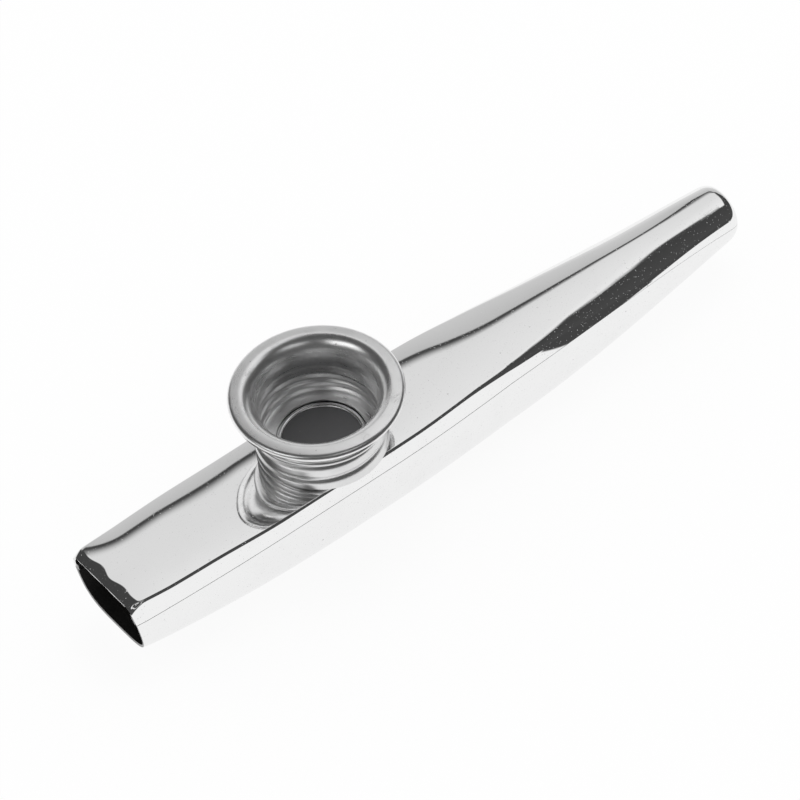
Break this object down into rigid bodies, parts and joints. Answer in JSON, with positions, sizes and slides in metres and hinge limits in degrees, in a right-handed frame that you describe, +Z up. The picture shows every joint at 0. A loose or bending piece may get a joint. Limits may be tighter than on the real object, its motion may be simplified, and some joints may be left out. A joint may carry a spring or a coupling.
{
  "type": "kazoo",
  "caption": "Metal kazoo: a pressed tube with a wide flat mouth, a round tail and a flared turret that screws down over a buzzing film.",
  "frame": {"origin": "on the plane that the belly rests on, under the middle of the kazoo's box, halfway from the mouth to the tail", "axes": "+X from the mouth to the tail, +Z up along the turret's axis, +Y to the left seen from the mouth"},
  "size_m": [0.12, 0.0268, 0.0275],
  "materials": {
    "lower_chrome": "polished",
    "upper_chrome": "polished",
    "neck_metal": "polished",
    "washer_fibre": "matte",
    "film": "satin",
    "ring_metal": "satin",
    "turret_metal": "satin"
  },
  "bodies": {
    "tube": {"lower_shell": "lower_chrome", "upper_shell": "upper_chrome", "neck": "neck_metal", "seat_washer": "washer_fibre"},
    "film": {"membrane": "film", "membrane_ring": "ring_metal"},
    "cap": {"turret": "turret_metal"}
  },
  "joints": [
    {"name": "turret_rise", "type": "slide", "parent": "tube", "child": "film", "axis": [0, 0, 1], "range_m": [0, 0.00601]},
    {"name": "turret_turn", "type": "hinge", "parent": "film", "child": "cap", "pos_m": [-0.0183, 0, 0.0173], "axis": [0, 0, 1], "range_deg": [0, 720]}
  ],
  "couplings": [
    {"joint": "turret_rise", "follows": "turret_turn", "m_per_rad": 0.00047746}
  ]
}
